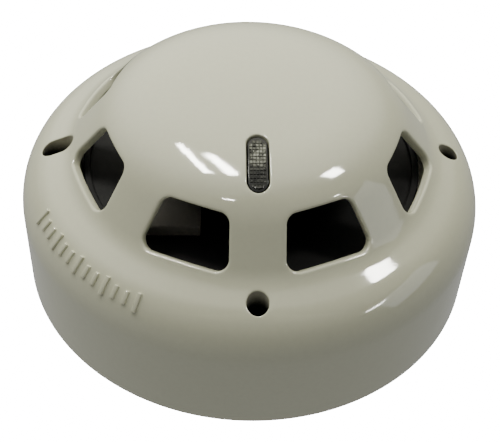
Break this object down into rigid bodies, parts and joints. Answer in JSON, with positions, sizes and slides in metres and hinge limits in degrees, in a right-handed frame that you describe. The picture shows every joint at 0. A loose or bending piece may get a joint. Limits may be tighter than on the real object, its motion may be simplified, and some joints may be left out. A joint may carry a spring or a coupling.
{
  "type": "heat detector",
  "caption": "Round ceiling heat detector: domed ivory cover with air windows round a black chamber, indicator lens, and a wired mounting base that the head locks onto by turning.",
  "frame": {"origin": "centre of the mounting base's back face, the face that lies on the ceiling", "axes": "+Z from the ceiling into the room through the dome's crown, -Y towards the indicator lens, +X to the right when the lens faces the viewer and the dome is up"},
  "size_m": [0.101, 0.101, 0.0485],
  "materials": {
    "cover_plastic": "glossy injection-moulded ivory flame-retardant plastic",
    "base_plastic": "satin injection-moulded off-white plastic",
    "black_plastic": "satin black moulded plastic",
    "lens_clear": "clear moulded plastic with a prism grid, dark because nothing is lit behind it",
    "nickel_plate": "nickel-plated brass strip",
    "zinc_plate": "bright zinc-plated steel",
    "black_steel": "black oxide steel",
    "board_laminate": "green solder mask over glass-epoxy laminate",
    "sensor_bead": "dark epoxy-dipped bead",
    "lamp_epoxy": "red-tinted clear epoxy",
    "black_epoxy": "matt moulded epoxy",
    "aluminium_can": "drawn aluminium can",
    "film_body": "yellow-brown boxed film capacitor",
    "varistor_coat": "blue dipped coating",
    "ceramic_body": "fired ceramic",
    "reed_glass": "clear green-tinted glass tube"
  },
  "bodies": {
    "base": {"mounting_base": "base_plastic", "terminal_contact_1": "nickel_plate", "terminal_contact_2": "nickel_plate", "terminal_contact_3": "nickel_plate", "terminal_contact_4": "nickel_plate", "terminal_clamp_1": "nickel_plate", "terminal_clamp_2": "nickel_plate", "terminal_clamp_3": "nickel_plate", "terminal_clamp_4": "nickel_plate", "terminal_screw_1": "zinc_plate", "terminal_screw_2": "zinc_plate", "terminal_screw_3": "zinc_plate", "terminal_screw_4": "zinc_plate"},
    "head": {"outer_cover": "cover_plastic", "indicator_lens": "lens_clear", "lower_housing": "base_plastic", "contact_blade_1": "nickel_plate", "contact_blade_2": "nickel_plate", "contact_blade_3": "nickel_plate", "contact_blade_4": "nickel_plate", "circuit_board": "board_laminate", "cover_screw_1": "zinc_plate", "cover_screw_2": "zinc_plate", "cover_screw_3": "zinc_plate", "board_screw_1": "zinc_plate", "board_screw_2": "zinc_plate", "inner_chamber": "black_plastic", "sensing_thermistor": "sensor_bead", "alarm_lamp": "lamp_epoxy", "controller_chip": "black_epoxy", "bridge_rectifier": "black_epoxy", "output_transistor": "black_epoxy", "smoothing_capacitor": "aluminium_can", "film_capacitor": "film_body", "surge_varistor": "varistor_coat", "reed_switch": "reed_glass", "chip_resistor_1": "black_epoxy", "chip_resistor_2": "black_epoxy", "chip_resistor_3": "black_epoxy", "chip_resistor_4": "black_epoxy", "chip_resistor_5": "black_epoxy", "chip_resistor_6": "black_epoxy", "ceramic_capacitor_1": "ceramic_body", "ceramic_capacitor_2": "ceramic_body", "ceramic_capacitor_3": "ceramic_body"},
    "lock": {"lock_screw": "black_steel"}
  },
  "joints": [
    {"name": "head_twist", "type": "hinge", "parent": "base", "child": "head", "pos_m": [0, 0, 0], "axis": [0, 0, 1], "range_deg": [0, 22]},
    {"name": "lock_travel", "type": "slide", "parent": "head", "child": "lock", "axis": [0, 0, -1], "range_m": [0, 0.0026]}
  ]
}
